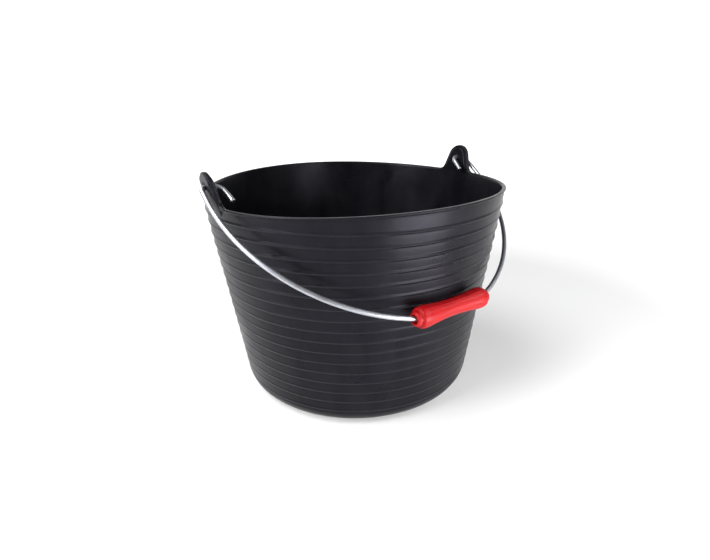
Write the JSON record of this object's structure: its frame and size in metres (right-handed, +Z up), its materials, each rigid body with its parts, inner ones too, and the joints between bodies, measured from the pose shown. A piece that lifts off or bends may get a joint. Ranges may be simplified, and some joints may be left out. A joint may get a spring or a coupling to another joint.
{
  "type": "bucket",
  "caption": "Tapering black rubber bucket with raised rings, moulded ears, a hooked wire bail that swings and a red grip that turns on it.",
  "frame": {"origin": "middle of the flat underside that the bucket stands on", "axes": "+Z is up, +X runs through both ears along the line that the bail swings on, and the bail hangs over the front wall, towards -Y"},
  "size_m": [0.3276, 0.3157, 0.241],
  "materials": {
    "black_rubber": "satin",
    "galvanised_wire": "galvanised",
    "red_plastic": "semi-gloss"
  },
  "bodies": {
    "bucket": {"bucket_body": "black_rubber"},
    "bail": {"bail_wire": "galvanised_wire"},
    "grip": {"hand_grip": "red_plastic"}
  },
  "joints": [
    {"name": "bail_swing", "type": "hinge", "parent": "bucket", "child": "bail", "pos_m": [0, 0, 0.228], "axis": [-1, 0, 0], "range_deg": [0, 248.73]},
    {"name": "grip_spin", "type": "hinge", "parent": "bail", "child": "grip", "pos_m": [0, -0.15057, 0.12504], "axis": [1, 0, 0], "continuous": true}
  ]
}
